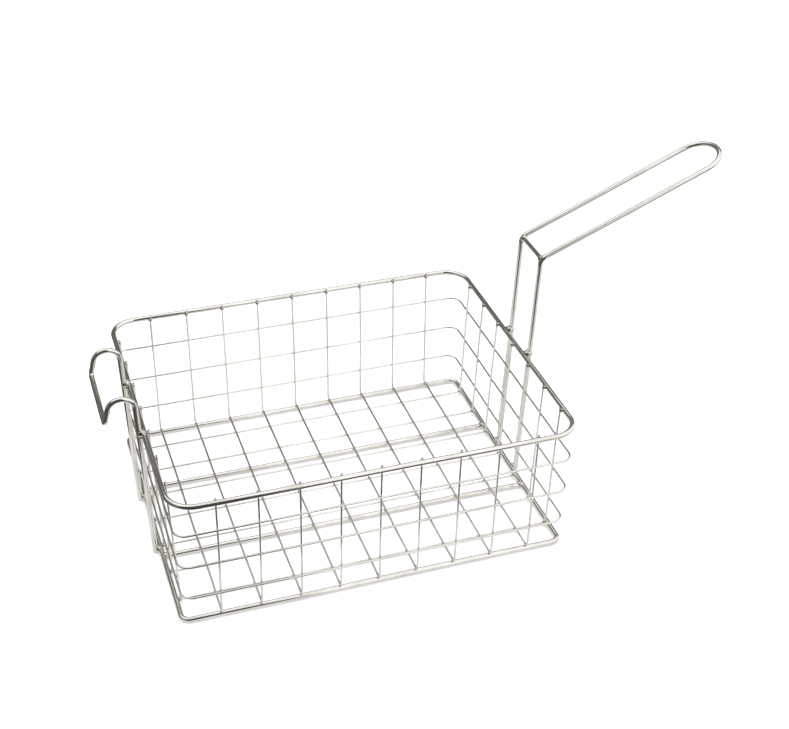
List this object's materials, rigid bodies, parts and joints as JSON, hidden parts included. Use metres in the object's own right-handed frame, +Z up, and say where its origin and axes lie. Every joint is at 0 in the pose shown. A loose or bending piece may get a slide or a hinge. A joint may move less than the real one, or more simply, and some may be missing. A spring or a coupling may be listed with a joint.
{
  "type": "deep fryer basket",
  "caption": "Rectangular wire mesh basket with a thick top rim and base ring, a long raised loop handle at one end and a hanging hook at the other.",
  "frame": {"origin": "centre of the base ring, on the surface that the basket stands on", "axes": "+X along the basket towards the handle, +Y across the basket, +Z up out of the mouth"},
  "size_m": [0.4119, 0.2106, 0.2216],
  "materials": {
    "frame_wire": "bright plated thick steel wire with shiny weld beads",
    "tray_wire": "bright plated thin steel wire, slightly duller than the frame"
  },
  "bodies": {
    "root": {"top_rim": "frame_wire", "base_ring": "frame_wire", "base_bar_front": "frame_wire", "base_bar_rear": "frame_wire", "handle_frame": "frame_wire", "handle_cross_bar": "frame_wire", "hook_frame": "frame_wire", "hoop_lower": "tray_wire", "hoop_middle": "tray_wire", "hoop_upper": "tray_wire", "cross_wire_1": "tray_wire", "cross_wire_2": "tray_wire", "cross_wire_3": "tray_wire", "cross_wire_4": "tray_wire", "cross_wire_5": "tray_wire", "cross_wire_6": "tray_wire", "cross_wire_7": "tray_wire", "cross_wire_8": "tray_wire", "cross_wire_9": "tray_wire", "long_wire_1": "tray_wire", "long_wire_2": "tray_wire", "long_wire_3": "tray_wire", "long_wire_4": "tray_wire", "long_wire_5": "tray_wire", "long_wire_6": "tray_wire", "long_wire_7": "tray_wire"}
  },
  "joints": []
}
